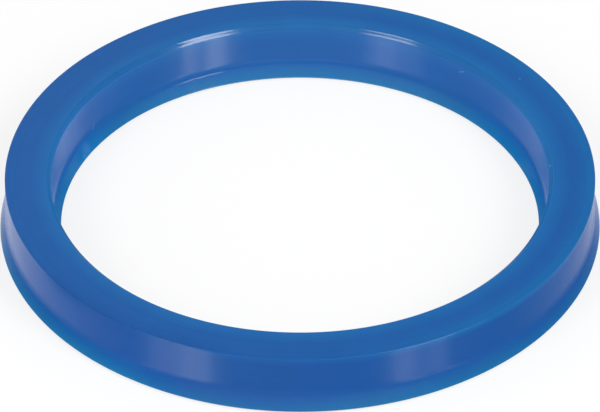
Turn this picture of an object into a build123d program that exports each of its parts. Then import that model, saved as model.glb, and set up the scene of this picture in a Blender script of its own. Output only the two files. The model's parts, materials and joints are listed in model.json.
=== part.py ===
from build123d import *
import os

# Hydraulic U cup seal, one ring of polyurethane, for a 75 mm rod in a 90 mm groove.
# Millimetres. The ring lies on its two lips: +Z is its axis and points out of the heel,
# and the origin is on the axis, in the plane that the lip ends stand on.

# What the seal is made for
rod_diameter = 75.0
groove_depth = 7.5          # radial, from the rod's surface to the floor of its groove
height = 9.5                # lip ends to heel face

# Heel: the solid half of the section, which clears both the rod and the groove
heel_rod_clearance = 0.3    # radial, heel bore to rod
heel_groove_clearance = 0.2  # radial, heel wall to groove
heel_chamfer = 0.65         # 45 degree chamfer round the heel bore

# Lips: both stand proud of the heel, so that they are squeezed when the seal is fitted
rod_lip_squeeze = 1.05      # radial, rod lip past the rod surface
groove_lip_squeeze = 0.75   # radial, groove lip past the groove surface
lip_length = 3.1            # flared length, from the lip ends up to the corner with the wall
lip_bevel = 0.5             # 45 degree bevel between each sealing edge and its lip end
lip_land = 1.4              # width of the flat end of each lip
wall_blend_radius = 4.0     # concave blend between the straight wall and the flare

# Pressure groove between the lips
cup_depth = 5.0
cup_floor_width = 2.6
cup_floor_radius = 1.2

rod_radius = rod_diameter / 2
groove_radius = rod_radius + groove_depth
heel_bore_radius = rod_radius + heel_rod_clearance
heel_outer_radius = groove_radius - heel_groove_clearance
rod_lip_radius = rod_radius - rod_lip_squeeze
groove_lip_radius = groove_radius + groove_lip_squeeze
rod_lip_end_radius = rod_lip_radius + lip_bevel
groove_lip_end_radius = groove_lip_radius - lip_bevel
cup_floor_centre = (heel_bore_radius + heel_outer_radius) / 2


def seal_section():
    """Half section of the ring in the XZ plane, as (radius, height), with a radius for each corner."""
    corners = [
        # heel, from its bore out to the groove wall
        (heel_bore_radius, height - heel_chamfer, 0),
        (heel_bore_radius + heel_chamfer, height, 0),
        (heel_outer_radius, height, 0),
        (heel_outer_radius, lip_length, wall_blend_radius),
        # groove lip: sealing edge, bevel and flat end
        (groove_lip_radius, lip_bevel, 0),
        (groove_lip_end_radius, 0, 0),
        (groove_lip_end_radius - lip_land, 0, 0),
        # pressure groove
        (cup_floor_centre + cup_floor_width / 2, cup_depth, cup_floor_radius),
        (cup_floor_centre - cup_floor_width / 2, cup_depth, cup_floor_radius),
        # rod lip: flat end, bevel and sealing edge
        (rod_lip_end_radius + lip_land, 0, 0),
        (rod_lip_end_radius, 0, 0),
        (rod_lip_radius, lip_bevel, 0),
        (heel_bore_radius, lip_length, wall_blend_radius),
    ]
    with BuildSketch(Plane.XZ) as section:
        with BuildLine():
            FilletPolyline(
                [(radius, level) for radius, level, _ in corners],
                radius=[corner_radius for _, _, corner_radius in corners],
                close=True,
            )
        make_face()
    return section.sketch


def seal_ring():
    """The whole seal: its section turned once round the axis."""
    return revolve(seal_section(), axis=Axis.Z, revolution_arc=360)


ring = seal_ring()
os.makedirs("parts", exist_ok=True)
export_step(ring, "parts/seal_ring.step")
print(f"seal ring {ring.volume:.1f} mm3")
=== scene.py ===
# Blue polyurethane U cup seal, lying heel up on its two lips. Everything is in metres.
import bpy
import json
import math
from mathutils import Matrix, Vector


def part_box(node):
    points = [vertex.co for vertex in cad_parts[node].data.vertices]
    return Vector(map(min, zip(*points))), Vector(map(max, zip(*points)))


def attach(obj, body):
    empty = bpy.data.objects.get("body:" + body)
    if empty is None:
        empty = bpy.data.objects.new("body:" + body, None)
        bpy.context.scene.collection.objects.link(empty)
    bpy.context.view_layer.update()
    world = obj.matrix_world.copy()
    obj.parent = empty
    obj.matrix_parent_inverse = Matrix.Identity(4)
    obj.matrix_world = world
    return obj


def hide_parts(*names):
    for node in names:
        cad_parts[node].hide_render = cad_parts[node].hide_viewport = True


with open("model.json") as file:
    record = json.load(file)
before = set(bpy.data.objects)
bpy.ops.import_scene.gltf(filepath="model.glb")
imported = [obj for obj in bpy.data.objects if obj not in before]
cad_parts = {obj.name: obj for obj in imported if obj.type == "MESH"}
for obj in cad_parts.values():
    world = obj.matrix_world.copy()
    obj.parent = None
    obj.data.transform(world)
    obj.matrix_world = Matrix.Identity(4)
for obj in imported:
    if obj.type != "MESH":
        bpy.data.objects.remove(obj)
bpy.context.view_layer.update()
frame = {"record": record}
print("frame loaded")

mm = 0.001
mounts = {m["name"]: m for m in frame["record"]["mounts"]}
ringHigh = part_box("seal_ring")[1]


def deselectAll():
    bpy.ops.object.select_all(action="DESELECT")


def around(angle, rise, distance):
    # place seen from the ring, degrees to the right of the front and up from the floor
    a, e = math.radians(angle), math.radians(rise)
    return Vector((math.sin(a) * math.cos(e), -math.cos(a) * math.cos(e), math.sin(e))) * distance


# the ring is drawn as a half section, heel first, and spun
ring = {
    "boreRadius": mounts["rod_bore"]["dims"]["r_mm"] * mm,
    "wallRadius": mounts["groove_wall"]["dims"]["r_mm"] * mm,
    "grooveLipRadius": ringHigh.x,
    "rodLipRadius": 36.45 * mm,
    "height": ringHigh.z,
    "boreChamfer": 0.65 * mm,
    "knifeSteps": (0.22, 0.50, 0.62, 0.80),     # where the knife left faint ridges across the chamfer
    "knifeDepth": 0.014 * mm,
    "grooveFlare": 3.1 * mm,      # height where wall and flare would meet in a corner
    "grooveBlend": 4.0 * mm,      # radius of the blend there
    "rodFlare": 2.66 * mm,
    "rodBlend": 2.8 * mm,
    "lipBevel": 0.5 * mm,
    "lipLand": 1.4 * mm,
    "cupDepth": 5.0 * mm,
    "cupFloor": 2.6 * mm,
    "cupBlend": 1.2 * mm,
    "edgeBreak": 0.05 * mm,       # rounding left on the trimmed edges
    "edgeSteps": 3,
    "rimBreak": 0.12 * mm,        # and on the heel's outer edge
    "rimSteps": 4,
    "sealEdge": 0.03 * mm,        # the sealing edges are sharper
    "sealSteps": 2,
    "blendSteps": 12,
    "support": 0.15 * mm,         # extra loops this far from the roundings keep the shading straight
    "turns": 360,
    "smoothAngle": 35,            # degrees; sharper corners than this stay crisp
    "pickReach": 0.001 * mm,      # how near a vertex is to the place it is picked by
    "mergeReach": 0.0001 * mm,
}


def sectionCorners(s):
    # (radius, height, rounding, segments) of each corner
    rodEnd = s["rodLipRadius"] + s["lipBevel"]
    grooveEnd = s["grooveLipRadius"] - s["lipBevel"]
    middle = (s["boreRadius"] + s["wallRadius"]) / 2
    edge = (s["edgeBreak"], s["edgeSteps"])
    chamfer = [(s["boreRadius"], s["height"] - s["boreChamfer"], *edge)]
    for i, along in enumerate(s["knifeSteps"]):
        proud = s["knifeDepth"] * (1 if i % 2 else -1) / math.sqrt(2)
        chamfer.append((s["boreRadius"] + along * s["boreChamfer"] - proud,
                        s["height"] + (along - 1) * s["boreChamfer"] + proud, 0, 0))
    chamfer.append((s["boreRadius"] + s["boreChamfer"], s["height"], *edge))
    return chamfer + [
        (s["wallRadius"], s["height"], s["rimBreak"], s["rimSteps"]),
        (s["wallRadius"], s["grooveFlare"], s["grooveBlend"], s["blendSteps"]),
        (s["grooveLipRadius"], s["lipBevel"], s["sealEdge"], s["sealSteps"]),
        (grooveEnd, 0, *edge),
        (grooveEnd - s["lipLand"], 0, *edge),
        (middle + s["cupFloor"] / 2, s["cupDepth"], s["cupBlend"], s["blendSteps"]),
        (middle - s["cupFloor"] / 2, s["cupDepth"], s["cupBlend"], s["blendSteps"]),
        (rodEnd + s["lipLand"], 0, *edge),
        (rodEnd, 0, *edge),
        (s["rodLipRadius"], s["lipBevel"], s["sealEdge"], s["sealSteps"]),
        (s["boreRadius"], s["rodFlare"], s["rodBlend"], s["blendSteps"]),
    ]


def tangent(corners, i):
    # distance from a corner to where its rounding starts
    here, before, after = (Vector(corners[j % len(corners)][:2]) for j in (i, i - 1, i + 1))
    return corners[i][2] * math.tan((math.pi - (before - here).angle(after - here)) / 2)


def withSupports(corners, gap):
    # adds points beside the roundings on every long straight
    full = []
    for i, here in enumerate(corners):
        full.append(here)
        j = (i + 1) % len(corners)
        start, end = Vector(here[:2]), Vector(corners[j][:2])
        along = (end - start).normalized()
        start += along * (tangent(corners, i) + gap)
        end -= along * (tangent(corners, j) + gap)
        if (end - start).dot(along) > 2 * gap:
            full += [(*start, 0, 0), (*end, 0, 0)]
    return full


def pickVerts(piece, spots, reach):
    # selects the vertices at these places, in edit mode
    bpy.ops.mesh.select_mode(type="VERT")
    bpy.ops.mesh.select_all(action="DESELECT")
    bpy.ops.object.mode_set(mode="OBJECT")
    for v in piece.data.vertices:
        v.select = any((v.co - spot).length < reach for spot in spots)
    bpy.ops.object.mode_set(mode="EDIT")


def makeRing(s):
    # one vertex is extruded from corner to corner, the corners are rounded, the outline is spun
    deselectAll()
    corners = sectionCorners(s)
    points = withSupports(corners, s["support"])
    bpy.ops.mesh.primitive_plane_add(size=mm, location=(points[0][0], 0, points[0][1]))
    piece = bpy.context.object
    piece.name = piece.data.name = "uCupRing"
    bpy.ops.object.transform_apply(location=True, rotation=True, scale=True)
    bpy.ops.object.mode_set(mode="EDIT")
    bpy.ops.mesh.select_all(action="SELECT")
    bpy.ops.mesh.merge(type="CENTER")
    for here, nxt in zip(points, points[1:]):
        step = (nxt[0] - here[0], 0, nxt[1] - here[1])
        bpy.ops.mesh.extrude_region_move(TRANSFORM_OT_translate={"value": step})
    pickVerts(piece, [Vector((p[0], 0, p[1])) for p in (points[0], points[-1])], s["pickReach"])
    bpy.ops.mesh.edge_face_add()
    for i, (radius, height, rounding, segments) in enumerate(corners):
        if segments:
            pickVerts(piece, [Vector((radius, 0, height))], s["pickReach"])
            bpy.ops.mesh.bevel(offset=tangent(corners, i), offset_type="OFFSET", segments=segments,
                               profile=0.5, affect="VERTICES", clamp_overlap=False)
    bpy.ops.mesh.select_all(action="SELECT")
    bpy.ops.mesh.spin(steps=s["turns"], angle=2 * math.pi, center=(0, 0, 0), axis=(0, 0, 1))
    bpy.ops.mesh.select_all(action="SELECT")
    bpy.ops.mesh.remove_doubles(threshold=s["mergeReach"])
    bpy.ops.mesh.normals_make_consistent(inside=False)
    bpy.ops.object.mode_set(mode="OBJECT")
    bpy.ops.object.shade_smooth_by_angle(angle=math.radians(s["smoothAngle"]))
    return piece


# cast polyurethane, deep blue in the body, with painted glow where light gets through the thin places and
# painted light and shade on its sides
rubber = {
    "grooveSide": (0.012, 0.099, 0.357, 1),
    "boreSide": (0.014, 0.126, 0.404, 1),
    "heel": (0.012, 0.117, 0.397, 1),
    "heelFade": (1.2 * mm, 0.2 * mm),       # depth under the heel face where its colour starts, is full
    "paintedEdgeGlow": (1.03, 1.28, 1.10, 1),      # painted glow: light that gets through near the edge of the bore is painted into the colour
    "edgeInset": 0.3 * mm,                  # its middle, in from the bore wall and from the heel face
    "edgeReach": 3.2 * mm,
    "edgeFull": 0.4 * mm,
    "boreShare": 0.45,                      # less of it shows on the bore's own wall
    "paintedLipGlow": (0.95, 1.50, 1.05, 1),       # painted glow: light that gets through the thin lips is painted into the colour
    "lipReach": 2.4 * mm,
    "chamferPaintedLight": (1.08, 1.09, 1.04, 1),       # painted light: the chamfer's cut face is made lighter for how it catches the light
    "cutFade": (0.15 * mm, 0.05 * mm),      # how far behind it this starts, is full
    "rimReach": 3.0 * mm,                   # the rim's painted light and shade starts this far in from the heel's outer edge
    "rimEdgeFade": (0.13 * mm, 0.06 * mm),
    "wallSkin": (1.0 * mm, 0.3 * mm),       # how far behind the walls' faces their painted tints start, are full
    "flareFade": (3.8 * mm, 2.4 * mm),      # heights where the outer flare's tint starts, is full
    "boreFade": (2.6 * mm, 4.0 * mm),
    "boreFlareFade": (3.6 * mm, 2.4 * mm),
    "boreFlareSkin": (0.6 * mm, 0.2 * mm),
    "wallTopFade": (0.5 * mm, 0.1 * mm),    # depth under the chamfer
    "sideFull": 0.7,                        # a painted side tint is full this share of the way to its own direction
    "paintedSideLight": [  # painted light and shade on one side of the ring: where, degrees to the right of the front, cosine where it fades out, tint
        # painted glow where light gets through the rim on the right
        ("rim", 95, -0.1, (0.82, 1.30, 1.08, 1)),
        # painted shade on the rim at the front left
        ("rim", -36, 0.9, (0.88, 0.88, 0.93, 1)),
        # painted dark line along the heel's outer edge, for the dark it reflects
        ("rimEdge", 0, -1.0, (0.85, 0.86, 0.86, 1)),
        # painted light at the back of the heel
        ("heel", 158, 0.5, (1.02, 1.06, 1.03, 1)),
        ("outside", -55, 0.8, (0.98, 1.02, 1.09, 1)),
        ("flare", -58, 0.8, (1.0, 1.20, 1.02, 1)),
        ("flare", 26, 0.9, (1.0, 1.10, 1.0, 1)),
        ("bore", 115, 0.45, (1.02, 1.10, 1.12, 1)),
        ("bore", -104, 0.75, (1.0, 1.04, 1.08, 1)),
        # these two are painted sheen: the red is raised 2.4 to 2.5 times where the gloss comes out too weak
        ("bore", 96, 0.84, (2.5, 1.15, 1.10, 1)),
        ("bore", -92, 0.88, (2.4, 1.16, 1.12, 1)),
        ("boreFlare", 100, 0.74, (0.72, 1.15, 1.18, 1)),
        ("boreFlare", -95, 0.80, (0.72, 1.12, 1.14, 1)),
        ("wallTop", -110, 0.2, (0.95, 1.30, 1.27, 1)),
        ("wallTop", 150, 0.4, (1.02, 1.07, 1.03, 1)),
        # painted shade on the chamfer at the back
        ("cut", 180, 0.2, (0.91, 0.79, 0.82, 1)),
    ],
    "cloudSize": 9 * mm,
    "cloudRange": (0.35, 0.65),
    "cloudTint": (0.97, 0.965, 0.98, 1),
    "gloss": 0.20,
    "cutGloss": 0.13,                       # the knife-cut chamfer is smoother
    "lipGloss": 0.13,                       # and so are the sealing lips
    "lipGlossFade": (3.1 * mm, 2.6 * mm),
    "glossSpread": 0.15,                    # how much the streaks change it
    "streakSize": 1.6 * mm,
    "streakLength": 40 * mm,
    "streakDepth": 0.0012 * mm,
    "waveSize": 9 * mm,
    "waveLength": 60 * mm,
    "waveDepth": 0.006 * mm,
    "lineSize": 0.22 * mm,                  # left by turning
    "lineDepth": 0.0018 * mm,
    "lineRange": (0.50, 0.60),
    "lineTint": (0.90, 0.95, 0.96, 1),
    "lightBend": 1.5,
    "scatter": 0.5,                         # share of the light that goes into the rubber
    "scatterDepth": 0.5 * mm,
    "scatterColours": (0.2, 1.0, 0.8),      # share of that depth for red, green and blue
    "nicksAndGlints": [  # nicks in the surface, and painted glints: degrees to the right of the front, from the middle, height, size, strength
        (137.7, 37.8 * mm, 7.85 * mm, 0.19 * mm, 1.0),
        (138.2, 37.8 * mm, 7.68 * mm, 0.19 * mm, 1.0),
        (138.7, 37.8 * mm, 7.5 * mm, 0.19 * mm, 1.0),
        (125, 41.6 * mm, 9.5 * mm, 0.19 * mm, 1.0),
        (93.0, 38.15 * mm, 9.2 * mm, 0.19 * mm, 1.0),
        (93.5, 38.1 * mm, 9.15 * mm, 0.19 * mm, 1.0),
        # the faint ones from here are painted glints: a light streak on the bore wall and a light patch on
        # its lip
        (-122.3, 37.8 * mm, 3.7 * mm, 0.28 * mm, 0.20),
        (-122.0, 37.75 * mm, 3.3 * mm, 0.30 * mm, 0.36),
        (-121.7, 37.7 * mm, 2.95 * mm, 0.30 * mm, 0.42),
        (-116.6, 36.95 * mm, 1.4 * mm, 1.6 * mm, 0.27),
        (-114.8, 36.8 * mm, 0.9 * mm, 0.8 * mm, 0.36),
    ],
    "nickAndGlintColour": (0.14, 0.34, 0.66, 1),
}


def feed(tree, value, socket):
    # links an output, or sets a plain value
    if isinstance(value, bpy.types.NodeSocket):
        tree.links.new(value, socket)
    else:
        socket.default_value = value


def node(tree, kind, **settings):
    # names match the node's own settings, or its sockets with underscores for spaces
    made = tree.nodes.new(kind)
    for name, value in settings.items():
        if hasattr(made, name):
            setattr(made, name, value)
        else:
            feed(tree, value, made.inputs[name.replace("_", " ")])
    return made


def calc(tree, operation, *values):
    made = node(tree, "ShaderNodeMath", operation=operation)
    for value, socket in zip(values, made.inputs):
        feed(tree, value, socket)
    return made.outputs[0]


def ramp(tree, source, low, high, smooth=True):
    # 0 at low, 1 at high
    made = node(tree, "ShaderNodeMapRange", interpolation_type="SMOOTHSTEP" if smooth else "LINEAR",
                From_Min=low, From_Max=high)
    feed(tree, source, made.inputs["Value"])
    return made.outputs["Result"]


def mixColours(tree, factor, a, b, blend="MIX"):
    made = node(tree, "ShaderNodeMix", data_type="RGBA", blend_type=blend)
    for value, socket in ((factor, made.inputs[0]), (a, made.inputs[6]), (b, made.inputs[7])):
        feed(tree, value, socket)
    return made.outputs[2]


def noise(tree, place, size, **settings):
    # size is one number, or one for each axis
    sizes = size if isinstance(size, tuple) else (size,) * 3
    fit = node(tree, "ShaderNodeMapping")
    feed(tree, place, fit.inputs["Vector"])
    fit.inputs["Scale"].default_value = [1 / each for each in sizes]
    made = node(tree, "ShaderNodeTexNoise", Scale=1.0, **settings)
    feed(tree, fit.outputs[0], made.inputs["Vector"])
    return made.outputs[0]


def near(tree, place, spot, reach, core=0.3):
    # 1 around a spot, 0 beyond reach
    away = node(tree, "ShaderNodeVectorMath", operation="DISTANCE")
    feed(tree, place, away.inputs[0])
    away.inputs[1].default_value = spot
    return ramp(tree, away.outputs["Value"], reach, core * reach)


def makePolyurethane(s, look):
    mat = bpy.data.materials.new("bluePolyurethane")
    mat.use_nodes = True
    tree = mat.node_tree
    skin = tree.nodes["Principled BSDF"]
    place = node(tree, "ShaderNodeTexCoord").outputs["Object"]
    parts = node(tree, "ShaderNodeSeparateXYZ", Vector=place)
    height = parts.outputs["Z"]
    flat = node(tree, "ShaderNodeVectorMath", operation="MULTIPLY")
    feed(tree, place, flat.inputs[0])
    flat.inputs[1].default_value = (1, 1, 0)
    length = node(tree, "ShaderNodeVectorMath", operation="LENGTH")
    feed(tree, flat.outputs[0], length.inputs[0])
    radius = length.outputs["Value"]

    # colour: groove side to bore side, then the heel, then painted glow where light gets through the thin
    # places
    body = mixColours(tree, ramp(tree, radius, s["wallRadius"], s["boreRadius"]),
                      look["grooveSide"], look["boreSide"])
    start, full = look["heelFade"]
    onHeel = ramp(tree, height, s["height"] - start, s["height"] - full)
    body = mixColours(tree, onHeel, body, look["heel"])
    # painted glow: light getting through near the bore's edge is painted into the colour here
    inward = calc(tree, "SUBTRACT", radius, s["boreRadius"] + look["edgeInset"])
    upward = calc(tree, "SUBTRACT", height, s["height"] - look["edgeInset"])
    away = calc(tree, "SQRT", calc(tree, "ADD", calc(tree, "MULTIPLY", inward, inward),
                                   calc(tree, "MULTIPLY", upward, upward)))
    chamferEnd = s["height"] - s["boreChamfer"]
    share = calc(tree, "MULTIPLY_ADD", ramp(tree, height, chamferEnd, chamferEnd + s["edgeBreak"]),
                 1 - look["boreShare"], look["boreShare"])
    share = calc(tree, "MULTIPLY", share, ramp(tree, away, look["edgeReach"], look["edgeFull"]))
    body = mixColours(tree, share, body, look["paintedEdgeGlow"], "MULTIPLY")
    # painted glow on the thin lips, where light gets through
    body = mixColours(tree, ramp(tree, height, look["lipReach"], s["lipBevel"], smooth=False),
                      body, look["paintedLipGlow"], "MULTIPLY")
    along = calc(tree, "SUBTRACT", height, radius)
    chamferTop = s["height"] - s["boreRadius"] - s["boreChamfer"]
    start, full = look["cutFade"]
    cut = ramp(tree, along, chamferTop - start, chamferTop - full)
    # painted light on the chamfer face
    body = mixColours(tree, cut, body, look["chamferPaintedLight"], "MULTIPLY")
    offHeel = calc(tree, "SUBTRACT", 1.0, onHeel)
    start, full = look["wallSkin"]
    onOutside = calc(tree, "MULTIPLY", offHeel,
                     ramp(tree, radius, s["wallRadius"] - start, s["wallRadius"] - full))
    onBore = calc(tree, "MULTIPLY", ramp(tree, height, *look["boreFade"]),
                  ramp(tree, radius, s["boreRadius"] + start, s["boreRadius"] + full))
    start, full = look["boreFlareSkin"]
    onBoreLip = ramp(tree, radius, s["boreRadius"] + start, s["boreRadius"] + full)
    start, full = look["rimEdgeFade"]
    onRimEdge = calc(tree, "MULTIPLY", ramp(tree, radius, s["wallRadius"] - start, s["wallRadius"] - full),
                     ramp(tree, height, s["height"] - start, s["height"] - full))
    start, full = look["wallTopFade"]
    onWallTop = ramp(tree, height, chamferEnd - start, chamferEnd - full)
    regions = {
        "rim": calc(tree, "MULTIPLY", onHeel,
                    ramp(tree, radius, s["wallRadius"] - look["rimReach"], s["wallRadius"])),
        "rimEdge": onRimEdge,
        "heel": onHeel,
        "outside": onOutside,
        "flare": calc(tree, "MULTIPLY", onOutside, ramp(tree, height, *look["flareFade"])),
        "bore": calc(tree, "MULTIPLY", offHeel, onBore),
        "boreFlare": calc(tree, "MULTIPLY", ramp(tree, height, *look["boreFlareFade"]), onBoreLip),
        "wallTop": calc(tree, "MULTIPLY", calc(tree, "SUBTRACT", onBore, cut), onWallTop),
        "cut": cut,
    }
    # painted light and shade that lie on one side of the ring
    aside = node(tree, "ShaderNodeVectorMath", operation="NORMALIZE", Vector=flat.outputs[0])
    for region, angle, fade, tint in look["paintedSideLight"]:
        facing = node(tree, "ShaderNodeVectorMath", operation="DOT_PRODUCT")
        feed(tree, aside.outputs[0], facing.inputs[0])
        facing.inputs[1].default_value = around(angle, 0, 1)
        onSide = ramp(tree, facing.outputs["Value"], fade, fade + (1 - fade) * look["sideFull"])
        tinted = calc(tree, "MULTIPLY", onSide, regions[region])
        body = mixColours(tree, tinted, body, tint, "MULTIPLY")
    cloud = ramp(tree, noise(tree, place, look["cloudSize"], Detail=3.0), *look["cloudRange"])
    body = mixColours(tree, cloud, body, look["cloudTint"], "MULTIPLY")
    turned = node(tree, "ShaderNodeCombineXYZ")
    feed(tree, radius, turned.inputs[0])
    feed(tree, height, turned.inputs[2])
    lines = noise(tree, turned.outputs[0], look["lineSize"], Detail=2.0)
    body = mixColours(tree, ramp(tree, lines, *look["lineRange"]), body, look["lineTint"], "MULTIPLY")
    # pale nicks, and painted glints on the bore wall and lip
    nicksAndGlintsMask = 0.0
    for angle, r, z, size, strength in look["nicksAndGlints"]:
        spot = around(angle, 0, r) + Vector((0, 0, z))
        nickAndGlint = calc(tree, "MULTIPLY", near(tree, place, spot, size, 0.0), strength)
        nicksAndGlintsMask = calc(tree, "MAXIMUM", nickAndGlint, nicksAndGlintsMask)
    body = mixColours(tree, nicksAndGlintsMask, body, look["nickAndGlintColour"])
    feed(tree, body, skin.inputs["Base Color"])

    # gloss: the moulded walls are drawn upwards, the whole ring has faint turning lines
    sizes = (look["streakSize"], look["streakSize"], look["streakLength"])
    streaks = noise(tree, place, sizes, Detail=4.0)
    sizes = (look["waveSize"], look["waveSize"], look["waveLength"])
    waves = noise(tree, place, sizes, Detail=1.0)
    rough = calc(tree, "SUBTRACT", streaks, 0.5)
    rough = calc(tree, "MULTIPLY_ADD", rough, look["glossSpread"], look["gloss"])
    rough = calc(tree, "MULTIPLY_ADD", cut, look["cutGloss"] - look["gloss"], rough)
    onLip = ramp(tree, height, *look["lipGlossFade"])
    rough = calc(tree, "MULTIPLY_ADD", onLip, look["lipGloss"] - look["gloss"], rough)
    feed(tree, rough, skin.inputs["Roughness"])
    relief = calc(tree, "MULTIPLY", streaks, look["streakDepth"])
    relief = calc(tree, "ADD", relief, calc(tree, "MULTIPLY", waves, look["waveDepth"]))
    relief = calc(tree, "ADD", relief, calc(tree, "MULTIPLY", lines, look["lineDepth"]))
    bump = node(tree, "ShaderNodeBump", Strength=1.0, Distance=1.0)
    feed(tree, relief, bump.inputs["Height"])
    feed(tree, bump.outputs[0], skin.inputs["Normal"])
    skin.inputs["IOR"].default_value = look["lightBend"]
    skin.inputs["Subsurface Weight"].default_value = look["scatter"]
    skin.inputs["Subsurface Radius"].default_value = look["scatterColours"]
    skin.inputs["Subsurface Scale"].default_value = look["scatterDepth"]
    return mat


sealRing = makeRing(ring)
sealRing.data.materials.append(makePolyurethane(ring, rubber))
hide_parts("seal_ring")
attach(sealRing, "root")
print("seal ring made,", len(sealRing.data.polygons), "faces")


# a white studio: even light for the colour, two softboxes and their image in a table for the gloss
studio = {
    "floorSize": 6.0,
    "fill": 0.665,
    "fillLean": (-0.25, -0.45),     # the even light is stronger from the left and from the front
    "fillSides": 0.6,               # and from both sides
    "boxDistance": 1.20,
    "softboxes": [  # angle and rise in degrees, width, height, strength
        ("softboxLeft", -48, 43, 0.34, 0.46, 5.8),
        ("softboxRight", 50.5, 43, 0.35, 0.58, 9.4),
    ],
    "glows": [  # the same, for their image in the table and its lit edge
        ("tableGlowLeft", -40.5, -41, 0.28, 0.72, 1.72),
        ("tableGlowLeftOuter", -53, -41, 0.30, 0.72, 0.92),
        ("tableGlowRight", 40.5, -38, 0.20, 0.86, 3.0),
        ("tableGlowRightOuter", 53.8, -38, 0.13, 0.86, 2.5),
        ("tableEdgeRight", 44, 9.6, 0.50, 0.24, 4.3),
    ],
    # patches of painted shade on the table as the gloss sees it, dimming its glow:
    # degrees to the right, from the middle, reach, share of it that is full, change
    "tableReflectionShade": [
        (22, 52 * mm, 34 * mm, 0.3, 0.52),
        (74, 52 * mm, 26 * mm, 0.3, 0.16),
        (133, 36 * mm, 26 * mm, 0.3, 0.50),
        (-64, 100 * mm, 49.5 * mm, 0.96, 0.85),
    ],
    "tableLight": (180, 27 * mm, 28 * mm, 0.17),    # degrees, from the middle, reach, change
    "paintedBounceGlow": (0.00, 0.06, 0.26, 1),     # painted bounce light: a blue glow for what the ring itself sends onto the table beside it
    "blueReach": 30 * mm,
    "glowEdge": (0.25, 0.40),               # where a card starts to fade, across and along; 0.5 is its edge
    "paper": (0.8, 0.8, 0.8, 1),
    "paperSeen": (0.98, 0.98, 0.98, 1),     # as the camera sees it
    "paperGlow": 0.75,                      # and how much of its shadow is washed out
}


def aim(obj, place, target):
    obj.location = place
    obj.rotation_euler = (Vector(target) - Vector(place)).to_track_quat("-Z", "Y").to_euler()


def makeSoftbox(name, angle, rise, width, height, strength):
    light = bpy.data.lights.new(name, "AREA")
    light.shape = "RECTANGLE"
    light.size, light.size_y = width, height
    light.energy = strength * math.pi * width * height
    lamp = bpy.data.objects.new(name, light)
    bpy.context.collection.objects.link(lamp)
    aim(lamp, around(angle, rise, studio["boxDistance"]), (0, 0, 0))


def makeTableGlow(name, angle, rise, width, height, strength):
    # a softbox as a glossy table shows it: a soft-edged card under the floor, for the gloss alone
    deselectAll()
    bpy.ops.mesh.primitive_plane_add(size=1)
    card = bpy.context.object
    card.name = name
    card.scale = (width, height, 1)
    aim(card, around(angle, rise, studio["boxDistance"]), (0, 0, 0))
    mat = bpy.data.materials.new(name)
    mat.use_nodes = True
    mat.cycles.emission_sampling = "NONE"
    tree = mat.node_tree
    tree.nodes.clear()
    place = node(tree, "ShaderNodeTexCoord").outputs["Object"]
    parts = node(tree, "ShaderNodeSeparateXYZ", Vector=place)
    across = ramp(tree, calc(tree, "ABSOLUTE", parts.outputs["X"]), 0.5, studio["glowEdge"][0])
    along = ramp(tree, calc(tree, "ABSOLUTE", parts.outputs["Y"]), 0.5, studio["glowEdge"][1])
    mix = node(tree, "ShaderNodeMixShader", Fac=calc(tree, "MULTIPLY", across, along))
    feed(tree, node(tree, "ShaderNodeBsdfTransparent").outputs[0], mix.inputs[1])
    feed(tree, node(tree, "ShaderNodeEmission", Strength=strength).outputs[0], mix.inputs[2])
    node(tree, "ShaderNodeOutputMaterial", Surface=mix.outputs[0])
    card.data.materials.append(mat)
    card.visible_camera = card.visible_diffuse = card.visible_shadow = False
    card.visible_transmission = card.visible_volume_scatter = False


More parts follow.
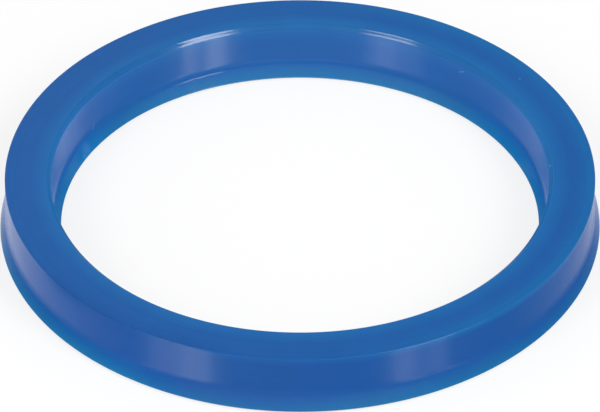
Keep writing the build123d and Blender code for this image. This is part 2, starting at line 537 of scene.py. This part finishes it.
def makeFloor():
    # pale paper; the camera sees part of its shadow, the gloss sees through it to the table's glow
    deselectAll()
    bpy.ops.mesh.primitive_plane_add(size=studio["floorSize"], location=(0, 0, 0))
    floor = bpy.context.object
    floor.name = "paleFloor"
    mat = bpy.data.materials.new("paleFloor")
    mat.use_nodes = True
    tree = mat.node_tree
    tree.nodes.clear()
    seen = node(tree, "ShaderNodeLightPath")
    direct = calc(tree, "MAXIMUM", seen.outputs["Is Camera Ray"], seen.outputs["Is Transmission Ray"])
    paper = node(tree, "ShaderNodeBsdfDiffuse")
    feed(tree, mixColours(tree, direct, studio["paper"], studio["paperSeen"]), paper.inputs["Color"])
    white = node(tree, "ShaderNodeEmission", Strength=1.0)
    mix = node(tree, "ShaderNodeMixShader", Fac=calc(tree, "MULTIPLY", direct, studio["paperGlow"]))
    feed(tree, paper.outputs[0], mix.inputs[1])
    feed(tree, white.outputs[0], mix.inputs[2])
    place = node(tree, "ShaderNodeTexCoord").outputs["Object"]
    clear = 1.0
    # painted shade: patches that dim the table's glow where the gloss sees it
    for angle, away, reach, core, change in studio["tableReflectionShade"]:
        shadedPatch = near(tree, place, around(angle, 0, away), reach, core)
        clear = calc(tree, "MULTIPLY", clear, calc(tree, "MULTIPLY_ADD", shadedPatch, -change, 1.0))
    glass = node(tree, "ShaderNodeBsdfTransparent")
    feed(tree, mixColours(tree, clear, (0, 0, 0, 1), (1, 1, 1, 1)), glass.inputs["Color"])
    angle, away, reach, change = studio["tableLight"]
    lifted = near(tree, place, around(angle, 0, away), reach)
    lift = node(tree, "ShaderNodeEmission", Strength=calc(tree, "MULTIPLY", lifted, change))
    # painted bounce light: a blue glow on the table beside the ring, seen by the gloss
    middle = node(tree, "ShaderNodeVectorMath", operation="LENGTH")
    feed(tree, place, middle.inputs[0])
    beside = calc(tree, "ABSOLUTE", calc(tree, "SUBTRACT", middle.outputs["Value"], ring["boreRadius"]))
    bounce = node(tree, "ShaderNodeEmission", Color=studio["paintedBounceGlow"],
                  Strength=ramp(tree, beside, studio["blueReach"], 0.0))
    glows = node(tree, "ShaderNodeAddShader")
    feed(tree, lift.outputs[0], glows.inputs[0])
    feed(tree, bounce.outputs[0], glows.inputs[1])
    table = node(tree, "ShaderNodeAddShader")
    feed(tree, glass.outputs[0], table.inputs[0])
    feed(tree, glows.outputs[0], table.inputs[1])
    pick = node(tree, "ShaderNodeMixShader", Fac=seen.outputs["Is Glossy Ray"])
    feed(tree, mix.outputs[0], pick.inputs[1])
    feed(tree, table.outputs[0], pick.inputs[2])
    node(tree, "ShaderNodeOutputMaterial", Surface=pick.outputs[0])
    mat.cycles.emission_sampling = "NONE"
    floor.data.materials.append(mat)


# the dim room that the gloss sees; each pair is where a change starts and is full, as x, y or z of the view
room = {
    "base": 0.16,                           # low down
    "rise": 0.24,                           # added high up
    "riseFade": (-0.6, 0.3),                # z
    "backShare": 0.45,                      # of which this much is left at the back
    "frontShare": 0.55,                     # and this much more in front
    "frontFade": (0.1, -0.9),               # y
    "sideDark": -0.60,                      # darker low down at both sides
    "sideFade": (0.5, 0.8),                 # x, either way
    "sideBottom": (-0.4, -0.2),             # z
    "sideTop": (0.35, 0.10),                # z
    "tableSlope": (-0.13, 0.60, 0),         # the table is paler behind the ring
    "tableBase": 0.12,
    "tableFade": (-0.28, -0.58),            # z
    "highBase": -0.07,                      # high at the back it is darker on the right
    "highLeft": 0.26,                       # and lighter on the left
    "highLeftFade": (0.035, -0.05),         # x
    "highTop": (0.65, 0.60),                # z
    "highFade": (0.3, 0.5),                 # z
    "highBack": (0.3, 0.6),                 # y
}


def makeWorld():
    world = bpy.data.worlds.new("studioRoom")
    bpy.context.scene.world = world
    world.use_nodes = True
    tree = world.node_tree
    tree.nodes.clear()
    seen = node(tree, "ShaderNodeLightPath")
    place = node(tree, "ShaderNodeTexCoord").outputs["Generated"]
    parts = node(tree, "ShaderNodeSeparateXYZ", Vector=place)
    x, y, z = (parts.outputs[axis] for axis in "XYZ")
    # walls and ceiling
    front = ramp(tree, y, *room["frontFade"])
    walls = calc(tree, "MULTIPLY_ADD", ramp(tree, z, *room["riseFade"]), room["rise"], room["base"])
    share = calc(tree, "MULTIPLY_ADD", front, room["frontShare"], room["backShare"])
    walls = calc(tree, "MULTIPLY", walls, share)
    wide = ramp(tree, calc(tree, "ABSOLUTE", x), *room["sideFade"])
    band = calc(tree, "MULTIPLY", ramp(tree, z, *room["sideBottom"]), ramp(tree, z, *room["sideTop"]))
    dim = calc(tree, "MULTIPLY_ADD", calc(tree, "MULTIPLY", wide, band), room["sideDark"], 1.0)
    walls = calc(tree, "MULTIPLY", walls, dim)
    # the table's glare
    slope = node(tree, "ShaderNodeVectorMath", operation="DOT_PRODUCT")
    feed(tree, place, slope.inputs[0])
    slope.inputs[1].default_value = room["tableSlope"]
    glare = calc(tree, "MAXIMUM", calc(tree, "ADD", slope.outputs["Value"], room["tableBase"]), 0)
    glare = calc(tree, "MULTIPLY", glare, ramp(tree, z, *room["tableFade"]))
    # high at the back
    side = calc(tree, "MULTIPLY", ramp(tree, x, *room["highLeftFade"]), ramp(tree, z, *room["highTop"]))
    side = calc(tree, "MULTIPLY_ADD", side, room["highLeft"], room["highBase"])
    high = calc(tree, "MULTIPLY", ramp(tree, z, *room["highFade"]), ramp(tree, y, *room["highBack"]))
    gloss = calc(tree, "ADD", calc(tree, "ADD", walls, glare), calc(tree, "MULTIPLY", side, high))
    # the even light for the colour
    even = calc(tree, "MULTIPLY_ADD", x, studio["fillLean"][0], 1.0)
    even = calc(tree, "MULTIPLY_ADD", y, studio["fillLean"][1], even)
    sides = calc(tree, "SUBTRACT", calc(tree, "ABSOLUTE", x), 0.5)
    even = calc(tree, "MULTIPLY_ADD", sides, studio["fillSides"], even)
    level = node(tree, "ShaderNodeMix", data_type="FLOAT")
    feed(tree, seen.outputs["Is Glossy Ray"], level.inputs[0])
    feed(tree, calc(tree, "MULTIPLY", even, studio["fill"]), level.inputs[2])
    feed(tree, gloss, level.inputs[3])
    direct = calc(tree, "MAXIMUM", seen.outputs["Is Camera Ray"], seen.outputs["Is Transmission Ray"])
    back = node(tree, "ShaderNodeMix", data_type="FLOAT")
    feed(tree, direct, back.inputs[0])
    feed(tree, level.outputs[0], back.inputs[2])
    feed(tree, 1.0, back.inputs[3])
    glow = node(tree, "ShaderNodeBackground")
    glow.inputs["Color"].default_value = (1, 1, 1, 1)
    feed(tree, back.outputs[0], glow.inputs["Strength"])
    node(tree, "ShaderNodeOutputWorld", Surface=glow.outputs[0])


makeWorld()
makeFloor()
for box in studio["softboxes"]:
    makeSoftbox(*box)
for card in studio["glows"]:
    makeTableGlow(*card)
print("studio lit")


shot = {
    "distance": 0.896,      # from the middle of the heel face
    "rise": 37.53,          # degrees
    "lens": 354.1,          # millimetres, and so is the sensor
    "sensor": 36,
    "clip": (0.01, 20),
    "aimDrop": 6.39 * mm,   # the lens looks this far below the heel face
}


def makeCamera():
    data = bpy.data.cameras.new("camera")
    data.lens = shot["lens"]
    data.sensor_width = shot["sensor"]
    data.clip_start, data.clip_end = shot["clip"]
    cam = bpy.data.objects.new("camera", data)
    bpy.context.collection.objects.link(cam)
    heel = Vector((0, 0, ring["height"]))
    aim(cam, heel + around(0, shot["rise"], shot["distance"]), heel - Vector((0, 0, shot["aimDrop"])))
    bpy.context.scene.camera = cam


makeCamera()
bpy.context.scene.view_settings.view_transform = "Standard"
print("camera set")
